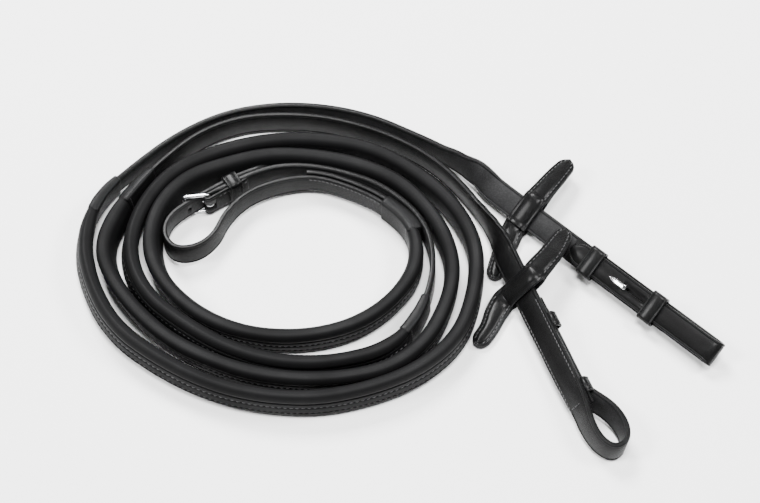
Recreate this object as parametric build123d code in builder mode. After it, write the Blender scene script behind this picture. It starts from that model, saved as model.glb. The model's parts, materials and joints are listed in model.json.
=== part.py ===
"""A pair of leather riding reins, coiled on edge.

Two reins lie side by side in one oval coil.  Each is a leather strap that runs from a
hook-stud billet, through a soft grip, to the buckle that joins the two rear ends.  A
leather rein stop is threaded on the front of each rein.

Units are millimetres.  +Z is up, and the origin is on the floor in the middle of the
coiled pair.  "Left" and "inner" are to the left of travel from the billet to the buckle.
"""

import math
import os

from build123d import *

os.makedirs("parts", exist_ok=True)

# ---------------------------------------------------------------- driving dimensions

# rein straps and grips
STRAP_WIDTH = 16.0
STRAP_THICKNESS = 3.2
GRIP_WALL = 2.9                 # a grip over the strap's faces
GRIP_EDGE = 1.5                 # a grip over the strap's edges
SLEEVE_WALL = 2.0
SLEEVE_EDGE = 1.1
SLEEVE_LENGTH = 28.0
RIGHT_FRONT_LENGTH = 222.0      # on-edge leather in front of the right grip's sleeve
LEFT_FRONT_LENGTH = 235.0
RIGHT_GRIP_LENGTH = 864.0
LEFT_GRIP_LENGTH = 811.0

# billets, the folded front ends, measured from the tip of the tail
TAIL_INSET = 1.2                # the tail's edge inside the strap's
TAIL_THICKNESS = 2.6
TAIL_POINT = 8.0                # length of the pointed tip
LINING_THICKNESS = 1.6
LINING_LENGTH = 74.0
FIRST_KEEPER = 16.0
SECOND_KEEPER = 62.0
KEEPER_LENGTH = 10.0
KEEPER_WALL = 1.4
KEEPER_END = 0.8                # the keeper's ends, pared thin and sewn under the lining
STUD_PLACE = 42.0
STUD_NECK = 2.4
STUD_WIDTH = 3.0
STUD_HOOK_LENGTH = 13.0
STUD_HOOK_THICKNESS = 1.5
STUD_BASE_RADIUS = 4.0
STUD_BASE_THICKNESS = 0.8
SLIT_LENGTH = 17.0
RIGHT_STRAIGHT = 166.0          # right rein, from the end of its twist to its fold
RIGHT_TIP = 62.0                # right rein, from the end of its twist to the tail's tip
LEFT_STRAIGHT = 103.0           # left rein, from the end of its twist to its loop
LEFT_TIP = 36.0

# rein stops
STOP_LAYER = 1.8
STOP_WIDTH = 14.5
STOP_EASE = 0.7                 # between the strap's edge and the bend of each stop
RIGHT_STOP_PLACE = 25.0         # from the end of the twist to the middle of the stop
LEFT_STOP_PLACE = 23.0

# buckle, point strap and their keeper
POINT_THICKNESS = 2.8
POINT_START = 1088.0            # distance along the left rein
POINT_TIP = 5.0                 # how far the point strap's end tapers
LAP_LENGTH = 65.0               # rein and point strap stitched side by side
LAP_JOIN = 8.0                  # how far the lapped end reaches back beside the rein
LAP_COVER = 0.8                 # the sleeve's wall over the lapped end
HOLE_RADIUS = 1.5
HOLE_SPACING = 13.0
HOLE_PLACES = (-1, 1, 2)        # spacings from the tongue's hole towards the tip
TONGUE_HOLE = 45.0              # from the tip to the tongue's hole
BUCKLE_LENGTH = 15.5            # from the bar to the front member
BUCKLE_WIRE = 2.2
BUCKLE_CORNER = 2.0
BUCKLE_HEADING = 187.0          # direction from the bar to the front member
TONGUE_WIRE = 1.8
TONGUE_OVERHANG = 0.9           # how far the tongue reaches past the front member's middle
TONGUE_EYE_WALL = 1.2
TONGUE_SWING = 5.0              # degrees
CHAPE_WALL = 1.6
CHAPE_LAYER = 2.2
CHAPE_LENGTH = 26.0
CHAPE_GAP = 2.6                 # from the rein's end to the middle of the bar
LOOP_KEEPER_LENGTH = 9.0
LOOP_KEEPER_WALL = 1.2
LOOP_KEEPER_PLACE = 15.0        # from the rein's end to the middle of the keeper

# fits
CLEARANCE = 0.3                 # between pieces that move against each other
EASE = 0.2                      # between pieces that only lie in each other
HINGE_CLEARANCE = 0.08

# sizes that follow from these
grip_height = STRAP_WIDTH + 2 * GRIP_EDGE
mid_height = grip_height / 2
tail_width = STRAP_WIDTH - 2 * TAIL_INSET
member_height = grip_height - BUCKLE_WIRE
point_width = member_height - BUCKLE_WIRE - 2 * EASE
tongue_length = BUCKLE_LENGTH + TONGUE_OVERHANG

# route of each rein's on-edge stretch, seen from above, from billet to buckle
RIGHT_ROUTE = [
    (28, 88), (14, 96), (-14, 111), (-45, 119), (-77, 120), (-108, 113), (-136, 96),
    (-159, 74), (-181, 50), (-187, 18), (-179, -13), (-163, -41), (-138, -61),
    (-110, -77), (-79, -86), (-47, -88), (-16, -82), (14, -69), (37, -47), (47, -16),
    (49, 16), (36, 46), (14, 69), (-13, 87), (-44, 94), (-76, 94), (-107, 86),
    (-136, 71), (-154, 44), (-160, 12), (-148, -18), (-123, -39), (-96, -56),
    (-65, -65), (-34, -64.5), (-2, -55), (16.5, -29), (24, 3), (18, 34), (-7, 59),
    (-36, 70), (-56, 73.5), (-73, 72.5), (-88, 66.6), (-100, 59.6), (-110.6, 52.6),
]
LEFT_ROUTE = [
    (49, 47), (41, 59), (26, 77), (5, 92), (-19, 103), (-44, 110), (-69, 112),
    (-95, 110), (-119, 99), (-138, 81), (-154, 61), (-167, 39), (-174, 13),
    (-164, -11), (-148, -32), (-129, -49.5), (-106, -62), (-82, -71),
    (-56, -75), (-30, -74), (-4, -68), (17, -51), (29, -27), (35, -1), (30, 24), (17, 47),
    (-1, 65), (-26, 76), (-51, 81), (-77, 82), (-102, 75), (-126, 65), (-142, 44),
    (-146, 16), (-137, -8), (-119, -28), (-97, -41), (-72, -47), (-46, -46),
    (-21, -38), (-1, -22), (13, 1), (12, 27), (-6, 46), (-27, 58), (-50, 66),
    (-72, 62), (-90, 53), (-102, 38), (-107, 23), (-118, 13), (-131, 12),
    (-138, 22), (-137, 34.5), (-127.4, 45), (-101.8, 62.8), (-89.4, 69.6), (-75, 75),
]


# ---------------------------------------------------------------- helpers

def corner_radii(points):
    """The largest arc that each corner of a route leaves room for."""
    radii = []
    for before, corner, after in zip(points, points[1:], points[2:]):
        arriving = Vector(corner) - Vector(before)
        leaving = Vector(after) - Vector(corner)
        half_turn = math.radians(arriving.get_angle(leaving)) / 2
        radii.append(0.45 * min(arriving.length, leaving.length) / math.tan(half_turn))
    return radii


def route_wire(points):
    return FilletPolyline(*points, radius=corner_radii(points))


def beside(line, fraction, distance):
    """The point that lies a distance to the left of a line."""
    tangent = line.tangent_at(fraction)
    return line.position_at(fraction) + Vector(-tangent.Y, tangent.X, 0) * distance


def band(route, start, end, near, far, height):
    """Add a layer on edge, between two lengths of a route and two distances left of it."""
    edges = route.trim(start / route.length, end / route.length).edges()
    with BuildSketch(Plane.XY.offset(mid_height - height / 2)) as outline:
        with BuildLine():
            for distance in (near, far):
                for edge in edges:
                    first, middle, last = (beside(edge, t, distance) for t in (0, 0.5, 1))
                    if edge.geom_type == GeomType.LINE:
                        Line(first, last)
                    else:
                        ThreePointArc(first, middle, last)
            Line(beside(edges[0], 0, near), beside(edges[0], 0, far))
            Line(beside(edges[-1], 1, near), beside(edges[-1], 1, far))
        make_face()
    extrude(outline.sketch, amount=height)


def station(x, y, z, heading, pitch=0.0, roll=0.0):
    """A section plane across a strap.

    Its local x runs across the strap's width, its local y is the strap's face normal and
    its local z is the direction of travel.  With no roll the strap lies flat.
    """
    h, p, r = math.radians(heading), math.radians(pitch), math.radians(roll)
    travel = Vector(math.cos(h) * math.cos(p), math.sin(h) * math.cos(p), math.sin(p))
    level = Vector(-math.sin(h), math.cos(h), 0)
    upward = travel.cross(level)
    across = level * math.cos(r) + upward * math.sin(r)
    return Plane(origin=(x, y, z), x_dir=across, z_dir=travel)


def on_edge(x, y, z, heading, tilt):
    """A section plane across a strap on edge, whose top leans to the left by tilt.

    x and y are the section's middle, and z is the height of its lower edge.
    """
    middle = z + STRAP_WIDTH / 2 * math.cos(math.radians(tilt))
    return station(x, y, middle, heading, roll=90 - tilt)


def layer(plane, width, near, far):
    """The section of one layer of a strap, from near to far along the plane's normal."""
    with BuildSketch(plane) as section:
        with Locations((0, (near + far) / 2)):
            Rectangle(width, abs(far - near))
    return section.sketch


def straight_layer(plane, length, width, near, far, mode=Mode.ADD):
    """Add one layer of a strap along a straight stretch."""
    extrude(layer(plane, width, near, far), amount=length, mode=mode)


def ribbon(planes, widths, nears, fars):
    """Add one layer of a strap through a row of section planes."""
    loft([layer(*row) for row in zip(planes, widths, nears, fars)], ruled=True)


def profile_plane(plane, side):
    """A plane along a strap, seen edge on: x is the travel, y leaves the face on a side."""
    return Plane(origin=plane.origin, x_dir=plane.z_dir, z_dir=plane.x_dir * -side)


def face_plane(plane, side, height):
    """A plane along a strap's face: x is the travel, z leaves the face on a side."""
    outward = plane.y_dir * side
    return Plane(origin=plane.origin + outward * height, x_dir=plane.z_dir, z_dir=outward)


def save(piece, name):
    piece.part.label = name
    export_step(piece.part, f"parts/{name}.step")


# ---------------------------------------------------------------- shared places

half_strap = STRAP_THICKNESS / 2
half_point = POINT_THICKNESS / 2
lining_top = half_strap + LINING_THICKNESS
tail_bottom = lining_top + EASE
tail_top = tail_bottom + TAIL_THICKNESS

right_route = route_wire(RIGHT_ROUTE)
left_route = route_wire(LEFT_ROUTE)
print("right rein radii", [round(r) for r in corner_radii(RIGHT_ROUTE)])
print("left rein radii", [round(r) for r in corner_radii(LEFT_ROUTE)])


def front_end(route):
    """The upright section at a route's start, facing the billet."""
    start, tangent = route @ 0, route % 0
    heading = math.degrees(math.atan2(-tangent.Y, -tangent.X))
    return on_edge(start.X, start.Y, mid_height - STRAP_WIDTH / 2, heading, 0)


right_twist = [
    front_end(right_route),
    on_edge(40.5, 79.5, 1.37, -36, 12),
    on_edge(52, 70, 2.05, -40, 35),
    on_edge(61, 60, 3.96, -43, 58),
]
left_twist = [
    front_end(left_route),
    on_edge(54, 38, 2.64, -61, 6),
    on_edge(59, 27.5, 4.31, -65, 16),
    on_edge(62.5, 18.5, 5.54, -68, 28),
    on_edge(65.5, 9.7, 6.65, -69.2, 42),
]
right_straight = right_twist[-1]
left_straight = left_twist[-1]

# the left billet's loop, from the straight strap round to the tail
left_loop_start = left_straight.offset(LEFT_STRAIGHT)
left_tail_middle = -(tail_bottom + tail_top) / 2
left_tail_end = Plane(
    origin=left_loop_start.origin + left_loop_start.y_dir * left_tail_middle,
    x_dir=left_loop_start.x_dir,
    z_dir=-left_loop_start.z_dir,
)
left_loop = [
    left_loop_start,
    on_edge(104.5, -93, 4.94, -71, 28),
    on_edge(107, -103, 3.19, -66, 18),
    on_edge(112.5, -113, 1.52, -50, 10),
    on_edge(120, -118.5, 0.82, -15, 4),
    on_edge(127, -115.5, 0.60, 50, 0),
    on_edge(128.5, -108, 0.70, 90, -2),
    on_edge(126, -100, 1.04, 114, -6),
    on_edge(120, -92, 1.64, 131, -14),
    on_edge(112, -86, 2.41, 140, -26),
    left_tail_end,
]


# ---------------------------------------------------------------- rein straps

with BuildPart() as right_rein_strap:
    band(right_route, 0, right_route.length, -half_strap, half_strap, STRAP_WIDTH)
    ribbon(right_twist, [STRAP_WIDTH] * 4, [-half_strap] * 4, [half_strap] * 4)
    straight_layer(right_straight, RIGHT_STRAIGHT, STRAP_WIDTH, -half_strap, half_strap)
    # the flat fold at the front end
    with BuildSketch(profile_plane(right_straight.offset(RIGHT_STRAIGHT), 1)):
        with BuildLine():
            fold_out = (tail_top + half_strap) / 2
            fold_in = (tail_bottom - half_strap) / 2
            Line((0, half_strap), (0, -half_strap))
            RadiusArc((0, -half_strap), (0, tail_top), -fold_out)
            Line((0, tail_top), (0, tail_bottom))
            RadiusArc((0, tail_bottom), (0, half_strap), fold_in)
        make_face()
    extrude(amount=STRAP_WIDTH / 2, both=True)

with BuildPart() as left_rein_strap:
    band(left_route, 0, POINT_START - EASE, -half_strap, half_strap, STRAP_WIDTH)
    ribbon(left_twist, [STRAP_WIDTH] * 5, [-half_strap] * 5, [half_strap] * 5)
    straight_layer(left_straight, LEFT_STRAIGHT, STRAP_WIDTH, -half_strap, half_strap)
    tail_shares = [i / (len(left_loop) - 1) for i in range(len(left_loop))]
    halves = [(STRAP_THICKNESS * (1 - s) + TAIL_THICKNESS * s) / 2 for s in tail_shares]
    widths = [STRAP_WIDTH * (1 - s) + tail_width * s for s in tail_shares]
    ribbon(left_loop, widths, [-h for h in halves], halves)
    # the lapped end, beside the point strap, and the stretch that joins it to the rein
    lap_near = -half_point - STRAP_THICKNESS
    lap_from = POINT_START - LAP_JOIN
    band(left_route, lap_from, POINT_START - EASE, lap_near, half_strap, STRAP_WIDTH)
    band(left_route, lap_from, POINT_START + LAP_LENGTH, lap_near, -half_point, STRAP_WIDTH)


# ---------------------------------------------------------------- billets

def add_tail(end, length, side, stud_distance):
    """Add the folded-back tail, with its pointed tip and the slit for the stud."""
    half = tail_width / 2
    with BuildSketch(face_plane(end, side, tail_bottom)) as outline:
        with BuildLine():
            Polyline(
                (0, half), (TAIL_POINT - length, half), (-length, 0),
                (TAIL_POINT - length, -half), (0, -half), close=True,
            )
        make_face()
        with Locations((SLIT_LENGTH / 2 - STUD_NECK - stud_distance, 0)):
            SlotOverall(SLIT_LENGTH, STUD_WIDTH + 2 * EASE, mode=Mode.SUBTRACT)
    extrude(outline.sketch, amount=TAIL_THICKNESS)


right_tail_length = RIGHT_STRAIGHT - RIGHT_TIP
left_tail_length = LEFT_STRAIGHT - LEFT_TIP
with right_rein_strap:
    right_end = right_straight.offset(RIGHT_STRAIGHT)
    add_tail(right_end, right_tail_length, 1, right_tail_length - STUD_PLACE)
with left_rein_strap:
    add_tail(left_loop_start, left_tail_length, -1, left_tail_length - STUD_PLACE)


for name, tip, side in (
    ("right", right_straight.offset(RIGHT_TIP), 1),
    ("left", left_straight.offset(LEFT_TIP), -1),
):
    stud_plane = tip.offset(STUD_PLACE)
    hook_bottom = tail_top + 2 * EASE
    hook_top = hook_bottom + STUD_HOOK_THICKNESS

    with BuildPart() as billet_lining:
        straight_layer(tip, LINING_LENGTH, STRAP_WIDTH, side * half_strap, side * lining_top)
        with BuildSketch(face_plane(stud_plane, side, half_strap)):
            Circle(STUD_BASE_RADIUS + EASE)
        extrude(amount=STUD_BASE_THICKNESS, mode=Mode.SUBTRACT)
        with BuildSketch(face_plane(stud_plane, side, half_strap)):
            Rectangle(STUD_NECK + 2 * EASE, STUD_WIDTH + 2 * EASE)
        extrude(amount=LINING_THICKNESS, mode=Mode.SUBTRACT)
        for place in (FIRST_KEEPER, SECOND_KEEPER):
            straight_layer(
                tip.offset(place - KEEPER_LENGTH / 2), KEEPER_LENGTH, STRAP_WIDTH,
                side * half_strap, side * (half_strap + KEEPER_END), mode=Mode.SUBTRACT,
            )
    save(billet_lining, f"{name}_billet_lining")

    with BuildPart() as hook_stud:
        with BuildSketch(face_plane(stud_plane, side, half_strap)):
            Circle(STUD_BASE_RADIUS)
        extrude(amount=STUD_BASE_THICKNESS)
        with BuildSketch(profile_plane(stud_plane, side)):
            with BuildLine():
                Polyline(
                    (-STUD_NECK / 2, half_strap), (STUD_NECK / 2, half_strap),
                    (STUD_NECK / 2, hook_top), (STUD_NECK / 2 - STUD_HOOK_LENGTH, hook_top),
                    (STUD_NECK / 2 - STUD_HOOK_LENGTH, hook_bottom),
                    (-STUD_NECK / 2, hook_bottom), close=True,
                )
            make_face()
        extrude(amount=STUD_WIDTH / 2, both=True)
    save(hook_stud, f"{name}_hook_stud")

    for place, which in ((FIRST_KEEPER, "rear"), (SECOND_KEEPER, "front")):
        keeper_start = tip.offset(place - KEEPER_LENGTH / 2)
        inner_width = STRAP_WIDTH + 2 * EASE
        with BuildPart() as keeper:
            straight_layer(
                keeper_start, KEEPER_LENGTH, inner_width + 2 * KEEPER_WALL,
                side * half_strap, side * (tail_top + EASE + KEEPER_WALL),
            )
            straight_layer(
                keeper_start, KEEPER_LENGTH, inner_width,
                side * (half_strap + KEEPER_END), side * (tail_top + EASE),
                mode=Mode.SUBTRACT,
            )
        save(keeper, f"{name}_billet_{which}_keeper")


# ---------------------------------------------------------------- rein stops

def across_strap(plane, distance):
    """A section plane of a stop, where it lies flat across the strap."""
    origin = plane.origin + plane.x_dir * distance
    return Plane(origin=origin, x_dir=-plane.z_dir, z_dir=plane.x_dir)


right_middle = right_straight.offset(RIGHT_STOP_PLACE)
left_middle = left_straight.offset(LEFT_STOP_PLACE)
crossing_edge = STRAP_WIDTH / 2 + STOP_EASE
crossing_gap = half_strap + CLEARANCE

# each row is a section plane, a share of the full width, and half the gap between layers
RIGHT_STOP = [
    (station(57.8, 0, 2.2, 65), 0.18, 0),
    (station(60.2, 5.5, 2.2, 65), 0.7, 0),
    (station(63.5, 15, 2.2, 66), 0.86, 0),
    (station(67.5, 24, 2.2, 62, 2), 0.92, 0),
    (station(71.2, 33.6, 2.8, 50, 13), 0.97, 0.5),
    (across_strap(right_middle, -crossing_edge), 1, crossing_gap),
    (across_strap(right_middle, crossing_edge), 1, crossing_gap),
    (station(87, 51.5, 14.0, 47, 20), 1, 0.6),
    (station(92, 58, 14.5, 48, 3), 0.94, 0),
    (station(99, 67.5, 13.4, 50, -9), 0.8, 0),
    (station(104.5, 75, 11.9, 52, -12), 0.5, 0),
    (station(107.5, 79.5, 11.0, 54, -12), 0.15, 0),
]
LEFT_STOP = [
    (station(46.5, -45.5, 2.2, 46), 0.18, 0),
    (station(50.5, -41, 2.2, 52), 0.56, 0),
    (station(55.2, -33.5, 2.2, 58), 0.82, 0),
    (station(59.5, -23.5, 2.3, 56, 2), 0.95, 0),
    (station(63.8, -16.5, 3.4, 43, 20), 1, 0.6),
    (across_strap(left_middle, -crossing_edge), 1, crossing_gap),
    (across_strap(left_middle, crossing_edge), 1, crossing_gap),
    (station(83.5, -4.5, 20.8, 42, 12), 1, 0.6),
    (station(91, 5.5, 20.2, 58, -12), 0.94, 0),
    (station(97, 16, 17.6, 61, -14), 0.72, 0),
    (station(100, 22, 16.2, 61, -14), 0.48, 0),
    (station(102, 26, 15.4, 61, -12), 0.18, 0),
]

for name, rows in (("right", RIGHT_STOP), ("left", LEFT_STOP)):
    planes = [plane for plane, share, gap in rows]
    widths = [STOP_WIDTH * share for plane, share, gap in rows]
    gaps = [gap for plane, share, gap in rows]
    with BuildPart() as stop_face:
        ribbon(planes, widths, gaps, [gap + STOP_LAYER for gap in gaps])
    save(stop_face, f"{name}_rein_stop_face")
    with BuildPart() as stop_back:
        ribbon(planes, widths, [-gap - STOP_LAYER for gap in gaps], [-gap for gap in gaps])
    save(stop_back, f"{name}_rein_stop_back")


# ---------------------------------------------------------------- buckle and point strap

# the bar stands at the rein's end, in the middle of the chape's two layers
rein_end = right_route @ 1
rein_travel = right_route % 1
bar_aside = CHAPE_LAYER / 2
bar_place = beside(right_route, 1, bar_aside) + rein_travel * CHAPE_GAP
bar_radius = BUCKLE_WIRE / 2
bar_hole = bar_radius + HINGE_CLEARANCE

buckle_angle = math.radians(BUCKLE_HEADING)
buckle_along = Vector(math.cos(buckle_angle), math.sin(buckle_angle), 0)
buckle_outward = Vector(math.sin(buckle_angle), -math.cos(buckle_angle), 0)
bar_middle = Vector(bar_place.X, bar_place.Y, mid_height)
buckle_plane = Plane(origin=bar_middle, x_dir=buckle_along, z_dir=-buckle_outward)

with BuildPart() as buckle_frame:
    for end in (1, -1):
        member = end * member_height / 2
        corners = [(0, 0), (0, member), (BUCKLE_LENGTH, member), (BUCKLE_LENGTH, 0)]
        with BuildLine(buckle_plane) as half_frame:
            FilletPolyline(*corners, radius=BUCKLE_CORNER)
        with BuildSketch(Plane(origin=half_frame.line @ 0, z_dir=half_frame.line % 0)):
            Circle(bar_radius)
        sweep(path=half_frame.line)
save(buckle_frame, "buckle_frame")

# the tongue lies outside the front member, and its eye turns on the bar
tongue_radius = TONGUE_WIRE / 2
tongue_aside = bar_radius + HINGE_CLEARANCE + tongue_radius
eye_radius = bar_hole + TONGUE_EYE_WALL
tongue_start = bar_middle + buckle_outward * tongue_aside
with BuildPart() as buckle_tongue:
    with BuildSketch(Plane(origin=tongue_start, z_dir=buckle_along)):
        Circle(tongue_radius)
    extrude(amount=tongue_length)
    with BuildSketch(Plane(origin=bar_middle)):
        Circle(eye_radius)
    extrude(amount=tongue_radius, both=True)
    with BuildSketch(Plane(origin=bar_middle)):
        Circle(bar_hole)
    extrude(amount=TONGUE_WIRE, both=True, mode=Mode.SUBTRACT)
save(buckle_tongue, "buckle_tongue")

# the right rein's end turns back round the bar
chape_radius = bar_hole + CHAPE_WALL
with right_rein_strap:
    chape_start = right_route.length - CHAPE_LENGTH
    turned_back = half_strap + CHAPE_LAYER
    band(right_route, chape_start, right_route.length, half_strap, turned_back, STRAP_WIDTH)
    with BuildSketch(Plane(origin=bar_middle)):
        Circle(chape_radius)
    extrude(amount=member_height / 2 - BUCKLE_CORNER, both=True)
    with BuildSketch(Plane(origin=bar_middle)):
        Circle(bar_hole)
    extrude(amount=STRAP_WIDTH, both=True, mode=Mode.SUBTRACT)
    with BuildSketch(Plane(origin=bar_middle)):
        Circle(chape_radius + EASE)
    extrude(amount=tongue_radius + CLEARANCE, both=True, mode=Mode.SUBTRACT)

tongue_hole_half = tongue_radius + EASE
tongue_sweep = tongue_length / 2 * math.tan(math.radians(TONGUE_SWING))
with BuildPart() as point_strap:
    band(left_route, POINT_START, left_route.length, -half_point, half_point, point_width)
    point_end = left_route @ 1
    for corner_height in (mid_height - point_width / 2, mid_height + point_width / 2):
        corner = Vector(point_end.X, point_end.Y, corner_height)
        chamfer(point_strap.edges().sort_by_distance(corner)[0], length=POINT_TIP)
    # the slot that the tongue stands in, with room for it to swing
    with BuildSketch(Plane(origin=tongue_start, x_dir=buckle_along, z_dir=(0, 0, 1))):
        with Locations((tongue_length / 2, -tongue_sweep / 2)):
            Rectangle(tongue_length, 2 * tongue_hole_half + tongue_sweep)
    extrude(amount=tongue_hole_half, both=True, mode=Mode.SUBTRACT)
    # the other holes
    for place in HOLE_PLACES:
        from_tip = TONGUE_HOLE - place * HOLE_SPACING
        fraction = 1 - from_tip / left_route.length
        middle = left_route.position_at(fraction) + Vector(0, 0, mid_height)
        outward = beside(left_route, fraction, 1) - left_route.position_at(fraction)
        with BuildSketch(Plane(origin=middle, z_dir=outward)):
            Circle(HOLE_RADIUS)
        extrude(amount=POINT_THICKNESS, both=True, mode=Mode.SUBTRACT)
save(point_strap, "point_strap")

# the keeper holds the point strap's end against the right rein
keeper_place = right_route.length - LOOP_KEEPER_PLACE
lane = left_route.distance_to(right_route @ (keeper_place / right_route.length))
keeper_near = -lane - half_point - 2 * EASE
keeper_far = half_strap + CHAPE_LAYER
keeper_from = keeper_place - LOOP_KEEPER_LENGTH / 2
keeper_to = keeper_place + LOOP_KEEPER_LENGTH / 2
with BuildPart() as buckle_keeper:
    band(
        right_route, keeper_from, keeper_to, keeper_near - LOOP_KEEPER_WALL,
        keeper_far + LOOP_KEEPER_WALL, STRAP_WIDTH + 2 * (EASE + LOOP_KEEPER_WALL),
    )
    with BuildPart(mode=Mode.PRIVATE) as keeper_opening:
        band(
            right_route, keeper_from - EASE, keeper_to + EASE, keeper_near, keeper_far,
            STRAP_WIDTH + 2 * EASE,
        )
    add(keeper_opening.part, mode=Mode.SUBTRACT)
save(buckle_keeper, "buckle_keeper")


# ---------------------------------------------------------------- grips and their sleeves

for name, route, strap, front_length, grip_length in (
    ("right", right_route, right_rein_strap, RIGHT_FRONT_LENGTH, RIGHT_GRIP_LENGTH),
    ("left", left_route, left_rein_strap, LEFT_FRONT_LENGTH, LEFT_GRIP_LENGTH),
):
    grip_start = front_length + SLEEVE_LENGTH
    grip_end = grip_start + grip_length
    for piece_name, start, end, wall, edge in (
        ("front_sleeve", front_length, grip_start, SLEEVE_WALL, SLEEVE_EDGE),
        ("grip_cover", grip_start, grip_end, GRIP_WALL, GRIP_EDGE),
        ("rear_sleeve", grip_end, grip_end + SLEEVE_LENGTH, SLEEVE_WALL, SLEEVE_EDGE),
    ):
        half = half_strap + wall
        lapped = name == "left" and piece_name == "rear_sleeve"
        outer = lap_near - LAP_COVER if lapped else -half
        with BuildPart() as cover:
            band(route, start, end, outer, half, STRAP_WIDTH + 2 * edge)
            add(strap.part, mode=Mode.SUBTRACT)
            if lapped:
                add(point_strap.part, mode=Mode.SUBTRACT)
        save(cover, f"{name}_{piece_name}")

save(right_rein_strap, "right_rein_strap")
save(left_rein_strap, "left_rein_strap")
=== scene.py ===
"""Looks for a pair of leather riding reins, coiled on edge.

Everything is in metres, in the CAD model's frame.  A strap is a skin of section rings that
follow a course: a smooth line with the direction that the strap's width takes along it.
Distances along a course run from the tip of the billet's tail, round the fold at the bit
end, and back through the coil to the buckle.
"""

import bisect
import json
import math
from collections import namedtuple

import bmesh
import bpy
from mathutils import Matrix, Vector, noise


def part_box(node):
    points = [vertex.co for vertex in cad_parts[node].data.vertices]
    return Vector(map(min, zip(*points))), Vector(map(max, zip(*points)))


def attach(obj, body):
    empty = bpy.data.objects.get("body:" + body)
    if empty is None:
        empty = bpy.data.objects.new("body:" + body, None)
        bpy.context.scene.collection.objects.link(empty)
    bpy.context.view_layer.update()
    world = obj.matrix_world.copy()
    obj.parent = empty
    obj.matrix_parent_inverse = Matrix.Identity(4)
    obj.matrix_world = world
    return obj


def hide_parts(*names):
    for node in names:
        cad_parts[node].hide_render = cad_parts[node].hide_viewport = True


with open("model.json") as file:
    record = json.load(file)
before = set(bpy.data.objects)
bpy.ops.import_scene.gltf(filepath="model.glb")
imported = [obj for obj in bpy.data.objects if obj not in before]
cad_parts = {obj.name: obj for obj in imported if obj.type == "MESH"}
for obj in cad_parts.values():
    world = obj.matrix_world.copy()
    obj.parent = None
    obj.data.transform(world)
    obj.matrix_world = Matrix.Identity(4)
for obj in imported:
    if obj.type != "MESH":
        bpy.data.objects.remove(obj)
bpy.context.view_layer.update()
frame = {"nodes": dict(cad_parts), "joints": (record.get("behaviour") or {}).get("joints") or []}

MM = 0.001
UP = Vector((0, 0, 1))
COIL = "coiled_reins"


# ---------------------------------------------------------------- sizes, as in the CAD model

STRAP_WIDTH = 16 * MM
STRAP_THICKNESS = 3.2 * MM
GRIP_HEIGHT = 19 * MM
GRIP_THICKNESS = 9.0 * MM
SLEEVE_HEIGHT = 18.2 * MM
SLEEVE_THICKNESS = 7.2 * MM
MID_HEIGHT = GRIP_HEIGHT / 2
GRIP_SEAM = GRIP_HEIGHT * 0.22
GRIP_ROWS = (GRIP_HEIGHT * 0.02, -GRIP_HEIGHT * 0.26)
TAIL_WIDTH = 13.6 * MM
TAIL_THICKNESS = 2.6 * MM
TAIL_POINT = 8 * MM
LINING_THICKNESS = 1.6 * MM
LINING_LENGTH = 74 * MM
KEEPER_LENGTH = 10 * MM
KEEPER_WALL = 1.4 * MM
KEEPER_END = 0.8 * MM
LOOP_KEEPER_LENGTH = 9 * MM
LOOP_KEEPER_WALL = 1.2 * MM
KEEPER_PLACES = (16 * MM, 62 * MM)
STUD_PLACE = 42 * MM
SLIT_LENGTH = 17 * MM
SLIT_WIDTH = 2 * MM
STUD_NECK = 2.4 * MM
STUD_WIDTH = 3 * MM
STUD_HOOK_LENGTH = 13 * MM
STUD_HOOK_THICKNESS = 1.5 * MM
STOP_LAYER = 1.8 * MM
STOP_WIDTH = 14.5 * MM
POINT_WIDTH = 14.2 * MM
POINT_THICKNESS = 2.8 * MM
LAP_LENGTH = 65 * MM
HOLE_RADIUS = 1.4 * MM
HOLE_SPACING = 13 * MM
TONGUE_HOLE = 45 * MM
BUCKLE_WIRE = 2.2 * MM
BUCKLE_HEADING = 187
TONGUE_WIRE = 1.8 * MM
TONGUE_LENGTH = 16.4 * MM
CHAPE_LAYER = 2.2 * MM
CHAPE_LENGTH = 26 * MM
EASE = 0.2 * MM

LINING_TOP = STRAP_THICKNESS / 2 + LINING_THICKNESS
TAIL_HEIGHT = LINING_TOP + EASE + TAIL_THICKNESS / 2
BILLET_TOP = TAIL_HEIGHT + TAIL_THICKNESS / 2

RIGHT_ROUTE = [
    (0.028, 0.088), (0.014, 0.096), (-0.014, 0.111), (-0.045, 0.119), (-0.077, 0.12),
    (-0.108, 0.113), (-0.136, 0.096), (-0.159, 0.074), (-0.181, 0.05), (-0.187, 0.018),
    (-0.179, -0.013), (-0.163, -0.041), (-0.138, -0.061), (-0.11, -0.077), (-0.079, -0.086),
    (-0.047, -0.088), (-0.016, -0.082), (0.014, -0.069), (0.037, -0.047), (0.047, -0.016),
    (0.049, 0.016), (0.036, 0.046), (0.014, 0.069), (-0.013, 0.087), (-0.044, 0.094),
    (-0.076, 0.094), (-0.107, 0.086), (-0.136, 0.071), (-0.154, 0.044), (-0.16, 0.012),
    (-0.148, -0.018), (-0.123, -0.039), (-0.096, -0.056), (-0.065, -0.065), (-0.034, -0.0645),
    (-0.002, -0.055), (0.0165, -0.029), (0.024, 0.003), (0.018, 0.034), (-0.007, 0.059),
    (-0.036, 0.07), (-0.056, 0.0735), (-0.073, 0.0725), (-0.088, 0.0666), (-0.1, 0.0596),
    (-0.1106, 0.0526),
]
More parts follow.
